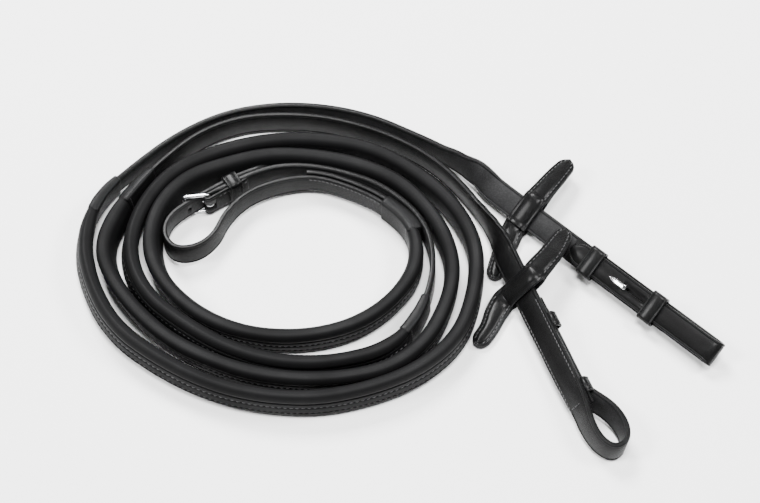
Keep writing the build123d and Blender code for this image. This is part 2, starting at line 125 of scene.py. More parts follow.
LEFT_ROUTE = [
    (0.049, 0.047), (0.041, 0.059), (0.026, 0.077), (0.005, 0.092), (-0.019, 0.103),
    (-0.044, 0.11), (-0.069, 0.112), (-0.095, 0.11), (-0.119, 0.099), (-0.138, 0.081),
    (-0.154, 0.061), (-0.167, 0.039), (-0.174, 0.013), (-0.164, -0.011), (-0.148, -0.032),
    (-0.129, -0.0495), (-0.106, -0.062), (-0.082, -0.071), (-0.056, -0.075), (-0.03, -0.074),
    (-0.004, -0.068), (0.017, -0.051), (0.029, -0.027), (0.035, -0.001), (0.03, 0.024),
    (0.017, 0.047), (-0.001, 0.065), (-0.026, 0.076), (-0.051, 0.081), (-0.077, 0.082),
    (-0.102, 0.075), (-0.126, 0.065), (-0.142, 0.044), (-0.146, 0.016), (-0.137, -0.008),
    (-0.119, -0.028), (-0.097, -0.041), (-0.072, -0.047), (-0.046, -0.046), (-0.021, -0.038),
    (-0.001, -0.022), (0.013, 0.001), (0.012, 0.027), (-0.006, 0.046), (-0.027, 0.058),
    (-0.05, 0.066), (-0.072, 0.062), (-0.09, 0.053), (-0.102, 0.038), (-0.107, 0.023),
    (-0.118, 0.013), (-0.131, 0.012), (-0.138, 0.022), (-0.137, 0.0345), (-0.1274, 0.045),
    (-0.1018, 0.0628), (-0.0894, 0.0696), (-0.075, 0.075),
]

# each billet: where its straight stretch starts, its heading towards the bit, how far the
# strap's top leans to the left of that heading, and the stretch's length and tail
Billet = namedtuple("Billet", "start heading tilt length tip side")
RIGHT_BILLET = Billet(Vector((0.061, 0.060, 0.0082)), -43, 58, 0.166, 0.062, 1)
LEFT_BILLET = Billet(Vector((0.0655, 0.0097, 0.0126)), -69.2, 42, 0.103, 0.036, -1)

# the twist between each billet and its coil, from the billet: place and lean
RIGHT_TWIST = [((0.052, 0.070, 0.0086), 35), ((0.0405, 0.0795, 0.0092), 12)]
LEFT_TWIST = [
    ((0.0625, 0.0185, 0.0126), 28), ((0.059, 0.0275, 0.0120), 16), ((0.054, 0.038, 0.0106), 6),
]
# the left billet's open loop, from the straight strap round to the tail
LEFT_LOOP = [
    (0.1045, -0.093, 0.0120), (0.107, -0.103, 0.0108), (0.1125, -0.113, 0.0094),
    (0.120, -0.1185, 0.0088), (0.127, -0.1155, 0.0086), (0.1285, -0.108, 0.0087),
    (0.126, -0.100, 0.0090), (0.120, -0.092, 0.0094), (0.112, -0.086, 0.0096),
]
LEFT_LOOP_MIDDLE = (0.1235, -0.117, 0.0087)

# how far each coiled strap's top leans towards the inside of the coil, in degrees
RIGHT_LEANS = [
    ((-0.014, 0.111), 0), ((-0.136, 0.096), 5), ((-0.187, 0.018), 14), ((-0.138, -0.061), 9),
    ((-0.047, -0.088), 4), ((0.037, -0.047), 5), ((0.049, 0.016), 2), ((-0.013, 0.087), 3),
    ((-0.107, 0.086), 6), ((-0.160, 0.012), 13), ((-0.123, -0.039), 8), ((-0.034, -0.065), 4),
    ((0.017, -0.029), 3), ((0.018, 0.034), 0), ((-0.036, 0.070), 0),
]
LEFT_LEANS = [
    ((0.026, 0.077), 0), ((-0.069, 0.112), -2), ((-0.138, 0.081), -6), ((-0.174, 0.013), -12),
    ((-0.129, -0.049), -8), ((-0.056, -0.073), -4), ((0.029, -0.027), -3), ((0.030, 0.024), 0),
    ((-0.026, 0.076), -2), ((-0.102, 0.075), -5), ((-0.146, 0.016), -12),
    ((-0.119, -0.028), -8), ((-0.046, -0.046), -3), ((0.013, 0.001), 0), ((-0.027, 0.058), 0),
    ((-0.107, 0.023), -5), ((-0.125, 0.0125), -9), ((-0.139, 0.030), 0),
]


# ---------------------------------------------------------------- courses

Place = namedtuple("Place", "point travel across face")


def smooth(value, start, end):
    """A share that rises gently from 0 at start to 1 at end."""
    share = min(max((value - start) / (end - start), 0), 1)
    return share * share * (3 - 2 * share)


def left_of(heading):
    """The level direction to the left of a heading in degrees."""
    turn = math.radians(heading)
    return Vector((-math.sin(turn), math.cos(turn), 0))


def leaning(left, lean):
    """The direction of a strap's width that stands on edge and leans to the left."""
    turn = math.radians(lean)
    return UP * math.cos(turn) + left * math.sin(turn)


def spline_points(points):
    """Points along the smooth line that has these control points."""
    data = bpy.data.curves.new("line", "CURVE")
    data.dimensions = "3D"
    spline = data.splines.new("NURBS")
    spline.points.add(len(points) - 1)
    for place, point in zip(points, spline.points):
        point.co = (*place, 1)
    spline.order_u = 3
    spline.use_endpoint_u = True
    spline.resolution_u = 12
    carrier = bpy.data.objects.new("line", data)
    bpy.context.scene.collection.objects.link(carrier)
    bpy.context.view_layer.update()
    depsgraph = bpy.context.evaluated_depsgraph_get()
    mesh = bpy.data.meshes.new_from_object(carrier.evaluated_get(depsgraph))
    places = [vertex.co.copy() for vertex in mesh.vertices]
    bpy.data.objects.remove(carrier)
    bpy.data.meshes.remove(mesh)
    bpy.data.curves.remove(data)
    return places


class Course:
    """The line that a strap follows, and the direction of the strap's width along it.

    A stance is a point near the line, how far the strap leans to the left there, and the
    heading that the lean is measured from, or None to use the line's own heading.
    """

    def __init__(self, control_points, stances):
        self.points = spline_points(control_points)
        self.distances = [0.0]
        for first, second in zip(self.points, self.points[1:]):
            self.distances.append(self.distances[-1] + (second - first).length)
        self.length = self.distances[-1]
        self.stances = []
        after = 0.0
        for place, lean, heading in stances:
            after = self.nearest(place, after)
            self.stances.append((after, lean, heading))

    def nearest(self, place, after=0.0, reach=0.35):
        """The distance of the nearest point, within a reach beyond a known distance."""
        target = Vector((*place, MID_HEIGHT)[:3])
        candidates = [
            ((point - target).length, distance)
            for point, distance in zip(self.points, self.distances)
            if after <= distance <= after + reach
        ]
        return min(candidates)[1]

    def point(self, distance):
        """The point at a distance, straight between the line's close points."""
        index = bisect.bisect_right(self.distances, distance) - 1
        index = min(max(index, 0), len(self.points) - 2)
        low, high = self.distances[index], self.distances[index + 1]
        return self.points[index].lerp(self.points[index + 1], (distance - low) / (high - low))

    def place(self, distance):
        """The point at a distance, the travel there, and the strap's width and face."""
        reach = 1.5 * MM
        ahead = self.point(min(distance + reach, self.length))
        behind = self.point(max(distance - reach, 0))
        travel = (ahead - behind).normalized()
        left = UP.cross(travel).normalized()
        index = bisect.bisect_right([stance[0] for stance in self.stances], distance)
        first = self.stances[max(index - 1, 0)]
        second = self.stances[min(index, len(self.stances) - 1)]
        share = smooth(distance, first[0], max(second[0], first[0] + MM))
        widths = []
        lifts = []
        for _, lean, heading in (first, second):
            free = heading is None
            widths.append(leaning(left if free else left_of(heading), lean))
            lifts.append(abs(math.sin(math.radians(lean))) * GRIP_THICKNESS / 2 if free else 0)
        across = widths[0].lerp(widths[1], share)
        across = (across - travel * across.dot(travel)).normalized()
        lift = lifts[0] * (1 - share) + lifts[1] * share
        return Place(self.point(distance) + UP * lift, travel, across, across.cross(travel))


def moved(place, along=0.0, across=0.0, face=0.0):
    """The point at an offset from a place."""
    return place.point + place.travel * along + place.across * across + place.face * face


def billet_place(billet, distance, height=0.0):
    """A place on a billet's straight stretch, whose travel points away from the bit."""
    turn = math.radians(billet.heading)
    travel = Vector((-math.cos(turn), -math.sin(turn), 0))
    across = leaning(UP.cross(travel), -billet.tilt)
    face = across.cross(travel)
    return Place(billet.start - travel * distance + face * height, travel, across, face)


class Straight:
    """A billet's straight stretch as a course.  Distances start at the end of the twist."""

    def __init__(self, billet):
        self.billet = billet

    def point(self, distance):
        return self.place(distance).point

    def place(self, distance):
        return billet_place(self.billet, distance)


def course_of(billet, bit_end, twist, route, leans, rear_end=()):
    """A rein's whole course, from its tail's tip to its rear end."""
    tail_height = billet.side * TAIL_HEIGHT
    fold = 6 * MM
    tail = [
        billet_place(billet, share * billet.length + (1 - share) * billet.tip, tail_height)
        for share in (0, 0.4, 0.8)
    ]
    tail.append(billet_place(billet, billet.length - fold, tail_height))
    straight = [billet_place(billet, share * billet.length) for share in (0.75, 0.5, 0.25, 0)]
    straight.insert(0, billet_place(billet, billet.length - fold))
    points = [place.point for place in tail] + bit_end + [place.point for place in straight]
    points += [Vector(point) for point, lean in twist]
    points += [Vector((x, y, MID_HEIGHT)) for x, y in route]
    points += rear_end
    away = billet.heading + 180
    stances = [(tail[0].point, -billet.tilt, away)]
    if billet.side < 0:
        stances += [
            (tail[2].point, -billet.tilt, away),
            (LEFT_LOOP_MIDDLE, -6, away),
            (straight[1].point, -billet.tilt, away),
        ]
    stances += [(straight[-1].point, -billet.tilt, away)]
    stances += [(point, -lean, None) for point, lean in twist]
    stances += [(route[0], 0, None)]
    stances += [(point, lean, None) for point, lean in leans]
    return Course(points, stances)


def round_the_bar(bar):
    """Control points of the right strap's end, which turns back round the buckle's bar."""
    last, before = Vector(RIGHT_ROUTE[-1]), Vector(RIGHT_ROUTE[-2])
    travel = (last - before).normalized().to_3d()
    left = UP.cross(travel)
    outer, inner = 2 * MM, 1.7 * MM
    turn = [(1.5 * MM, -outer), (2.9 * MM, -outer), (2.9 * MM, outer), (0, outer)]
    back = [(-share * CHAPE_LENGTH, inner) for share in (0.3, 0.6, 0.85, 1)]
    return [bar + travel * along + left * aside for along, aside in turn + back]


buckle_bar = Vector(next(j["pos_m"] for j in frame["joints"] if j["name"] == "tongue_swing"))
fold_out = 3 * MM
right_course = course_of(
    RIGHT_BILLET,
    [
        billet_place(RIGHT_BILLET, RIGHT_BILLET.length + fold_out, TAIL_HEIGHT).point,
        billet_place(RIGHT_BILLET, RIGHT_BILLET.length + fold_out).point,
    ],
    RIGHT_TWIST, RIGHT_ROUTE, RIGHT_LEANS, round_the_bar(buckle_bar),
)
left_course = course_of(
    LEFT_BILLET, [Vector(point) for point in reversed(LEFT_LOOP)],
    LEFT_TWIST, LEFT_ROUTE, LEFT_LEANS,
)


# ---------------------------------------------------------------- sections

Spot = namedtuple("Spot", "across face wear")


def rounded_section(width, thickness, radius, crease=0.0):
    """A strap's section with rounded edges, and a crease near each edge if one is given."""
    half_width, half_thickness = width / 2, thickness / 2
    depth, spread = 0.3 * MM, 0.35 * MM
    spots = []
    for side_a, side_f in ((1, 1), (-1, 1), (-1, -1), (1, -1)):
        corner = []
        for step in range(5):
            turn = math.radians(90 * step / 4)
            corner.append(Spot(
                side_a * (half_width - radius + radius * math.sin(turn)),
                side_f * (half_thickness - radius + radius * math.cos(turn)), math.sin(turn),
            ))
        if crease:
            line = half_width - crease
            groove = [
                Spot(side_a * (line + spread * step), side_f * (half_thickness - sink), wear)
                for step, sink, wear in (
                    (-1.6, 0, 0), (-0.8, depth * 0.5, 0), (0, depth, 0), (0.8, depth * 0.4, 0.2),
                    (1.5, -depth * 0.15, 0.5),
                )
            ]
            corner = groove + corner
        if side_a * side_f > 0:
            corner.reverse()
        spots += corner
    return spots


def grip_section(height, thickness):
    """A soft grip's section: a fat tube, flatter outside where its cover is sewn."""
    crown = height / 2 - thickness / 2
    half = thickness / 2
    top = height / 2 - 0.35 * half
    spots = []
    for step in range(15):
        turn = math.pi * step / 14
        outer = max(0, -math.cos(turn))
        square = half * 0.55 * outer * (1 - outer)
        spots.append(Spot(crown + half * math.sin(turn) + square, half * math.cos(turn), 0.2))
    samples = 60
    for step in range(1, samples):
        across = crown - 2 * crown * step / samples
        sink = 0.9 * MM * math.exp(-(((across - GRIP_SEAM) / (0.45 * MM)) ** 2))
        for stitch_line in GRIP_ROWS:
            sink += 0.5 * MM * math.exp(-(((across - stitch_line) / (0.7 * MM)) ** 2))
        lapped = 0.45 * MM if across > GRIP_SEAM else 0.0
        spots.append(Spot(across, -half + sink + lapped, 0))
    for step in range(15):
        turn = math.pi + math.pi * step / 14
        spots.append(Spot(-crown + half * math.sin(turn), half * math.cos(turn), 0.2))
    for step in range(1, 10):
        share = step / 10
        swell = 0.3 * MM * math.sin(math.pi * share)
        spots.append(Spot(-crown + 2 * crown * share, half + swell, 0))
    return [spot for spot in spots if abs(spot.across) < top or spot.wear]


def scaled(section, across=1.0, face=1.0, shift=0.0):
    """A section stretched across and along the face, then moved along the face."""
    return [Spot(s.across * across, s.face * face + shift, s.wear) for s in section]


# ---------------------------------------------------------------- skins

def ring_at(place, section):
    """A section's points where it stands at a place."""
    return [(moved(place, across=spot.across, face=spot.face), spot.wear) for spot in section]


def skin(name, rings, closed=False, backed=()):
    """A closed mesh through rings of (point, wear), capped at both ends unless closed.

    The strips of faces that start at the backed spots take the second material.
    """
    count = len(rings[0])
    mesh = bpy.data.meshes.new(name)
    points = [point for ring in rings for point, wear in ring]
    faces = []
    materials = []
    pairs = list(zip(range(len(rings)), range(1, len(rings))))
    if closed:
        pairs.append((len(rings) - 1, 0))
    for first, second in pairs:
        for i in range(count):
            j = (i + 1) % count
            faces.append((
                first * count + i, first * count + j, second * count + j, second * count + i,
            ))
            materials.append(1 if i in backed else 0)
    if not closed:
        faces.append(tuple(reversed(range(count))))
        faces.append(tuple(range(len(points) - count, len(points))))
        materials += [0, 0]
    mesh.from_pydata(points, [], faces)
    mesh.polygons.foreach_set("material_index", materials)
    wear = mesh.attributes.new("wear", "FLOAT", "POINT")
    wear.data.foreach_set("value", [value for ring in rings for point, value in ring])
    return placed(name, mesh)


def placed(name, mesh):
    """An object for a mesh, with its faces outwards and smooth."""
    work = bmesh.new()
    work.from_mesh(mesh)
    bmesh.ops.recalc_face_normals(work, faces=work.faces)
    work.to_mesh(mesh)
    work.free()
    mesh.shade_smooth()
    piece = bpy.data.objects.new(name, mesh)
    bpy.context.scene.collection.objects.link(piece)
    return piece


def cut(piece, *cutters):
    """Take the cutters' shapes out of a piece."""
    for cutter in cutters:
        modifier = piece.modifiers.new("cut", "BOOLEAN")
        modifier.operation = "DIFFERENCE"
        modifier.solver = "EXACT"
        modifier.object = cutter
    bpy.context.view_layer.update()
    depsgraph = bpy.context.evaluated_depsgraph_get()
    mesh = bpy.data.meshes.new_from_object(piece.evaluated_get(depsgraph))
    piece.modifiers.clear()
    piece.data = mesh
    for cutter in cutters:
        bpy.data.objects.remove(cutter)


def spaced(start, end, spacing):
    """Distances from start to end, about a spacing apart."""
    count = max(2, round((end - start) / spacing))
    return [start + (end - start) * i / count for i in range(count + 1)]


def finish_piece(piece, materials, body, slot, *nodes):
    """Give a piece its materials and body, and hide the CAD nodes that it stands for.  The slot
    is not used.
    """
    for material in materials:
        piece.data.materials.append(material)
    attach(piece, body)
    if nodes:
        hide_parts(*nodes)
    return piece


def strip(name, course, start, end, shape, spacing=2 * MM, soft_end=0.8 * MM, back=0):
    """A skin along a course.  shape(distance) gives its section, and its ends are rounded.

    back is the side, 1 or -1 along the face, that takes the second material.
    """
    ends = [(0.0, 0.72), (0.35, 0.9), (1.0, 1.0)]
    stops = [(start + soft_end * share, scale) for share, scale in ends]
    stops += [(d, 1.0) for d in spaced(start + soft_end, end - soft_end, spacing)[1:-1]]
    stops += [(end - soft_end * share, scale) for share, scale in reversed(ends)]
    rings = []
    for distance, scale in stops:
        section = shape(distance)
        middle = sum(spot.face for spot in section) / len(section)
        rounded = [
            Spot(s.across * (0.85 + 0.15 * scale), middle + (s.face - middle) * scale, s.wear)
            for s in section
        ]
        rings.append(ring_at(course.place(distance), rounded))
    backed = set()
    if back:
        section = shape((start + end) / 2)
        middle = sum(spot.face for spot in section) / len(section)
        reach = max(abs(spot.face - middle) for spot in section) * 0.8
        backed = {
            i for i, (first, second) in enumerate(zip(section, section[1:] + section[:1]))
            if min((first.face - middle) * back, (second.face - middle) * back) > reach
        }
    return skin(name, rings, backed=backed)


def bar_along(name, points, side, section):
    """A bar that follows points.  side is the direction across it, the same all along."""
    rings = []
    for index, point in enumerate(points):
        ahead = points[min(index + 1, len(points) - 1)]
        behind = points[max(index - 1, 0)]
        travel = (ahead - behind).normalized()
        rings.append(ring_at(Place(point, travel, side, side.cross(travel)), section(index)))
    return skin(name, rings)


def disc_section(radius, count=12):
    """A round section."""
    turns = [2 * math.pi * step / count for step in range(count)]
    return [Spot(radius * math.cos(turn), radius * math.sin(turn), 0) for turn in turns]


# ---------------------------------------------------------------- stitches

STITCH_LENGTH = 2.2 * MM
STITCH_RADIUS = 0.3 * MM
STITCH_RINGS = [(-0.5, 0.25), (-0.36, 0.85), (0.0, 1.0), (0.36, 0.85), (0.5, 0.25)]
STITCH_SIDES = 6


def stitches(name, spots, body, slot):
    """One mesh of short threads.  Each spot is (point, along, outward)."""
    points, faces = [], []
    for middle, along, outward in spots:
        side = along.cross(outward).normalized()
        lifted = side.cross(along).normalized()
        base = len(points)
        for share, swell in STITCH_RINGS:
            arch = STITCH_RADIUS * (0.45 - 3.4 * share * share)
            centre = middle + along * (STITCH_LENGTH * share) + lifted * arch
            for step in range(STITCH_SIDES):
                turn = 2 * math.pi * step / STITCH_SIDES
                reach = STITCH_RADIUS * swell
                points.append(
                    centre + side * (reach * math.cos(turn)) + lifted * (reach * math.sin(turn))
                )
        for ring in range(len(STITCH_RINGS) - 1):
            low, high = base + ring * STITCH_SIDES, base + (ring + 1) * STITCH_SIDES
            for step in range(STITCH_SIDES):
                after = (step + 1) % STITCH_SIDES
                faces.append((low + step, low + after, high + after, high + step))
        last = base + (len(STITCH_RINGS) - 1) * STITCH_SIDES
        faces.append(tuple(range(base + STITCH_SIDES - 1, base - 1, -1)))
        faces.append(tuple(range(last, last + STITCH_SIDES)))
    mesh = bpy.data.meshes.new(name)
    mesh.from_pydata(points, [], faces)
    return finish_piece(placed(name, mesh), [thread], body, slot)


def row(course, start, end, across, face, side, pitch=2.9 * MM, slant=0.14):
    """Stitch spots along a course, at an offset from its line, on one side of a strap."""
    spots = []
    for distance in spaced(start, end, pitch):
        place = course.place(distance)
        along = (place.travel + place.across * slant).normalized()
        spots.append((moved(place, across=across, face=face), along, place.face * side))
    return spots


def cross_row(course, distance, half_width, face, side, pitch=2.6 * MM):
    """Stitch spots across a strap."""
    place = course.place(distance)
    return [
        (moved(place, across=across, face=face), place.across, place.face * side)
        for across in spaced(-half_width, half_width, pitch)
    ]


# ---------------------------------------------------------------- materials

def node(tree, kind, **settings):
    """A new shader node, with its inputs or properties set by name."""
    made = tree.nodes.new(kind)
    for name, value in settings.items():
        if name in made.inputs:
            made.inputs[name].default_value = value
        else:
            setattr(made, name, value)
    return made


def new_material(name):
    """A material, its node tree, its shader and the object's own coordinates."""
    material = bpy.data.materials.new(name)
    material.use_nodes = True
    tree = material.node_tree
    coordinates = node(tree, "ShaderNodeTexCoord")
    return material, tree, tree.nodes["Principled BSDF"], coordinates.outputs["Object"]


def noise_map(tree, coordinates, scale, detail=3.0, roughness=0.55):
    made = node(tree, "ShaderNodeTexNoise", Scale=scale, Detail=detail, Roughness=roughness)
    tree.links.new(coordinates, made.inputs["Vector"])
    return made.outputs["Fac"]


def ranged(tree, value, low, high, to_low, to_high):
    """A value's range low..high mapped to to_low..to_high."""
    made = node(tree, "ShaderNodeMapRange")
    for name, number in (
        ("From Min", low), ("From Max", high), ("To Min", to_low), ("To Max", to_high),
    ):
        made.inputs[name].default_value = number
    tree.links.new(value, made.inputs["Value"])
    return made.outputs["Result"]


def arithmetic(tree, operation, first, second):
    """A math node on two sockets or numbers."""
    made = node(tree, "ShaderNodeMath", operation=operation)
    for socket, value in zip(made.inputs, (first, second)):
        if isinstance(value, (int, float)):
            socket.default_value = value
        else:
            tree.links.new(value, socket)
    return made.outputs["Value"]


def blended(tree, factor, first, second):
    """A colour between two colours."""
    made = node(tree, "ShaderNodeMix", data_type="RGBA")
    tree.links.new(factor, made.inputs["Factor"])
    made.inputs["A"].default_value = (*first, 1)
    made.inputs["B"].default_value = (*second, 1)
    return made.outputs["Result"]


def set_bump(tree, shader, height, distance, strength):
    """Raise a shader's surface by a height map."""
    bump = node(tree, "ShaderNodeBump", Distance=distance, Strength=strength)
    tree.links.new(height, bump.inputs["Height"])
    tree.links.new(bump.outputs["Normal"], shader.inputs["Normal"])


def grey(value, blue=1.05):
    return (value, value, value * blue)


# the leathers' refraction, kept low so that they stay black above a bright floor
LEATHER_IOR = 1.17
GRIP_IOR = 1.16
FLESH_IOR = 1.25


def leather(name, dark, light, grain, depth, roughness, coat, pores=0.5):
    """Black leather: cells of grain with pores, patchy polish, and edges rubbed shinier."""
    material, tree, shader, coordinates = new_material(name)
    link = tree.links.new
    wobble = node(tree, "ShaderNodeTexNoise", Scale=grain * 0.6, Detail=2.0)
    link(coordinates, wobble.inputs["Vector"])
    bent = node(tree, "ShaderNodeMix", data_type="VECTOR")
    bent.inputs["Factor"].default_value = 0.0012
    link(coordinates, bent.inputs["A"])
    link(wobble.outputs["Color"], bent.inputs["B"])
    cells = node(tree, "ShaderNodeTexVoronoi", feature="DISTANCE_TO_EDGE", Scale=grain)
    link(bent.outputs["Result"], cells.inputs["Vector"])
    creases = ranged(tree, cells.outputs["Distance"], 0.0, 0.16, 0.0, 1.0)
    fine = noise_map(tree, coordinates, grain * 2.4, detail=2.0)
    broad = noise_map(tree, coordinates, 55.0, detail=4.0)
    height = arithmetic(tree, "ADD", arithmetic(tree, "MULTIPLY", fine, pores), creases)
    set_bump(tree, shader, height, depth, 0.8)
    worn = node(tree, "ShaderNodeAttribute", attribute_name="wear").outputs["Fac"]
    patches = arithmetic(tree, "MULTIPLY", ranged(tree, broad, 0.3, 0.7, 0.0, 1.0), 0.5)
    tone = arithmetic(tree, "ADD", patches, arithmetic(tree, "MULTIPLY", worn, 0.5))
    link(blended(tree, tone, grey(dark), grey(light)), shader.inputs["Base Color"])
    polish = ranged(tree, broad, 0.3, 0.7, roughness + 0.06, roughness - 0.05)
    rubbed = arithmetic(tree, "SUBTRACT", polish, arithmetic(tree, "MULTIPLY", worn, 0.1))
    dull_creases = ranged(tree, creases, 0.0, 1.0, 0.12, 0.0)
    link(arithmetic(tree, "ADD", rubbed, dull_creases), shader.inputs["Roughness"])
    shader.inputs["Coat Weight"].default_value = coat
    shader.inputs["Coat Roughness"].default_value = 0.2
    shader.inputs["IOR"].default_value = LEATHER_IOR
    return material


def soft_cover():
    """The grips' cover: matt charcoal-black leather with a fine close grain."""
    material, tree, shader, coordinates = new_material("soft_grip_leather")
    link = tree.links.new
    fine = noise_map(tree, coordinates, 2600.0, roughness=0.65)
    cells = node(tree, "ShaderNodeTexVoronoi", Scale=1500.0)
    link(coordinates, cells.inputs["Vector"])
    broad = noise_map(tree, coordinates, 38.0, detail=4.0)
    rounded = arithmetic(tree, "MULTIPLY", cells.outputs["Distance"], 0.6)
    set_bump(tree, shader, arithmetic(tree, "ADD", fine, rounded), 0.07 * MM, 0.7)
    patches = ranged(tree, broad, 0.3, 0.7, 0.0, 0.7)
    tone = arithmetic(tree, "ADD", patches, ranged(tree, fine, 0.35, 0.65, 0.0, 0.3))
    link(blended(tree, tone, grey(0.003), grey(0.006)), shader.inputs["Base Color"])
    link(ranged(tree, broad, 0.3, 0.7, 0.62, 0.5), shader.inputs["Roughness"])
    shader.inputs["IOR"].default_value = GRIP_IOR
    return material


def flesh_leather():
    """The rough back of the leather, with short raised fibres."""
    material, tree, shader, coordinates = new_material("leather_flesh_side")
    fibres = noise_map(tree, coordinates, 1500.0, detail=5.0, roughness=0.75)
    broad = noise_map(tree, coordinates, 160.0)
    set_bump(tree, shader, fibres, 0.25 * MM, 0.8)
    raised = ranged(tree, fibres, 0.45, 0.68, 0.0, 0.8)
    tone = arithmetic(tree, "ADD", raised, ranged(tree, broad, 0.3, 0.7, 0.0, 0.2))
    tree.links.new(
        blended(tree, tone, grey(0.003), grey(0.022)), shader.inputs["Base Color"]
    )
    shader.inputs["Roughness"].default_value = 0.6
    shader.inputs["IOR"].default_value = FLESH_IOR
    return material


def thread_material():
    """Waxed black thread with a fine twist."""
    material, tree, shader, coordinates = new_material("waxed_thread")
    strands = noise_map(tree, coordinates, 5200.0, detail=2.0)
    set_bump(tree, shader, strands, 0.05 * MM, 0.7)
    tree.links.new(
        blended(tree, strands, grey(0.012), grey(0.06)), shader.inputs["Base Color"]
    )
    shader.inputs["Roughness"].default_value = 0.34
    return material


def steel_material():
    """Polished steel with fine rubbed marks."""
    material, tree, shader, coordinates = new_material("polished_steel_rubbed")
    marks = noise_map(tree, coordinates, 900.0, detail=5.0, roughness=0.7)
    set_bump(tree, shader, marks, 0.01 * MM, 0.4)
    tree.links.new(ranged(tree, marks, 0.3, 0.7, 0.10, 0.24), shader.inputs["Roughness"])
    tree.links.new(
        blended(tree, marks, grey(0.62, 1.02), grey(0.82, 1.02)), shader.inputs["Base Color"]
    )
    shader.inputs["Metallic"].default_value = 1.0
    return material


strap_leather = leather("bridle_leather_black", 0.0014, 0.004, 1350, 0.09 * MM, 0.36, 0.06)
stop_leather = leather("stop_leather_grained", 0.0012, 0.004, 950, 0.2 * MM, 0.36, 0.1, 0.8)
keeper_leather = leather("keeper_leather_polished", 0.0012, 0.004, 1600, 0.06 * MM, 0.3, 0.1)
sleeve_leather = leather("sleeve_leather_worn", 0.002, 0.006, 1500, 0.08 * MM, 0.46, 0.03)
grip_leather = soft_cover()
flesh_side = flesh_leather()
thread = thread_material()
steel = steel_material()


# ---------------------------------------------------------------- rein straps

def middle_of(node_name):
    """The middle of a CAD node's box."""
    low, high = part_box(node_name)
    return (low + high) / 2


BILLETS = {"right": RIGHT_BILLET, "left": LEFT_BILLET}
STRAP_SECTION = rounded_section(STRAP_WIDTH, STRAP_THICKNESS, 0.9 * MM, crease=1.7 * MM)


def pointed(distance, length):
    """The share of a strap's width at a distance from its pointed tip."""
    share = min(max(distance / length, 0), 1)
    return 0.14 + 0.86 * math.sin(share * math.pi / 2) ** 0.85


def rein_strap(side, course, end, extra_shape):
    """The leather strap of one rein, from its tail's tip to its rear end."""
    billet = BILLETS[side]
    tail_length = billet.length - billet.tip
    turning = 8 * MM if side == "right" else 45 * MM

    def shape(distance):
        whole = smooth(distance, tail_length - 5 * MM, tail_length + turning)
        width = TAIL_WIDTH * (1 - whole) + STRAP_WIDTH * whole
        thickness = TAIL_THICKNESS * (1 - whole) + STRAP_THICKNESS * whole
        thinned, shift = extra_shape(distance)
        return scaled(
            STRAP_SECTION, width / STRAP_WIDTH * pointed(distance, TAIL_POINT),
            thickness / STRAP_THICKNESS * thinned, shift,
        )

    return strip(f"{side}_rein_leather", course, 0.0, end, shape, back=billet.side)


def billet_slit(billet):
    """The shape of the slit that the hook stud comes through, in the tail only."""
    half = SLIT_WIDTH / 2
    straight = Straight(billet)
    start = billet.tip + STUD_PLACE - STUD_NECK
    rings = []
    for share, width in ((0, 0.3), (0.05, 0.8), (0.12, 1), (0.88, 1), (0.95, 0.8), (1, 0.3)):
        place = straight.place(start + SLIT_LENGTH * share)
        corners = [
            Spot(a * half * width, billet.side * height, 0) for a, height in (
                (1, LINING_TOP + 0.05 * MM), (1, BILLET_TOP + MM),
                (-1, BILLET_TOP + MM), (-1, LINING_TOP + 0.05 * MM),
            )
        ]
        rings.append(ring_at(place, corners))
    return skin("slit", rings)


chape_start = right_course.nearest(RIGHT_ROUTE[-1], right_course.length - 0.05)


def right_rear_shape(distance):
    """The right strap is pared thin where it turns round the bar and lies on itself."""
    pared = smooth(distance, chape_start - 6 * MM, chape_start + 1 * MM)
    return 1 - 0.45 * pared, -0.35 * MM * pared * (1 - pared) * 4


right_strap = rein_strap("right", right_course, right_course.length, right_rear_shape)
tongue_slot = skin("tongue_slot", [
    [
        (buckle_bar + Vector((x * 3.6 * MM, y * 3.6 * MM, z * 1.3 * MM)), 0)
        for x, y in ((1, 1), (-1, 1), (-1, -1), (1, -1))
    ]
    for z in (-1, 1)
])
cut(right_strap, billet_slit(RIGHT_BILLET), tongue_slot)
finish_piece(
    right_strap, [strap_leather, flesh_side], COIL, "bridle_leather", "right_rein_strap"
)

left_rear = left_course.nearest(middle_of("left_rear_sleeve"), left_course.length - 0.35)
lap_end = left_rear + LAP_LENGTH
lap_aside = -(STRAP_THICKNESS + POINT_THICKNESS) / 2


def left_rear_shape(distance):
    """The left strap moves aside to lie against the point strap."""
    return 1.0, lap_aside * smooth(distance, left_rear - 16 * MM, left_rear + 10 * MM)


left_strap = rein_strap("left", left_course, lap_end, left_rear_shape)
cut(left_strap, billet_slit(LEFT_BILLET))
finish_piece(
    left_strap, [strap_leather, flesh_side], COIL, "bridle_leather", "left_rein_strap"
)


# ---------------------------------------------------------------- billets

def band_loop(name, place, half_width, low, high, length, wall):
    """A keeper: a flat leather band round a strap, from low to high along its face."""
    section = rounded_section(length, wall, 0.45 * MM, crease=1.5 * MM)
    radius = 1.6 * MM
    middle, half_height = (low + high) / 2, (high - low) / 2 + wall / 2
    half_width += wall / 2
    rings = []
    for side_a, side_f, first in ((1, 1, 0), (-1, 1, 90), (-1, -1, 180), (1, -1, 270)):
        for step in range(7):
            turn = math.radians(first + 15 * step)
            a = side_a * (half_width - radius) + radius * math.cos(turn)
            f = middle + side_f * (half_height - radius) + radius * math.sin(turn)
            out = place.across * math.cos(turn) + place.face * math.sin(turn)
            centre = moved(place, across=a, face=f)
            rings.append([
                (centre + place.travel * spot.across + out * spot.face, spot.wear)
                for spot in section
            ])
    return skin(name, rings, closed=True)


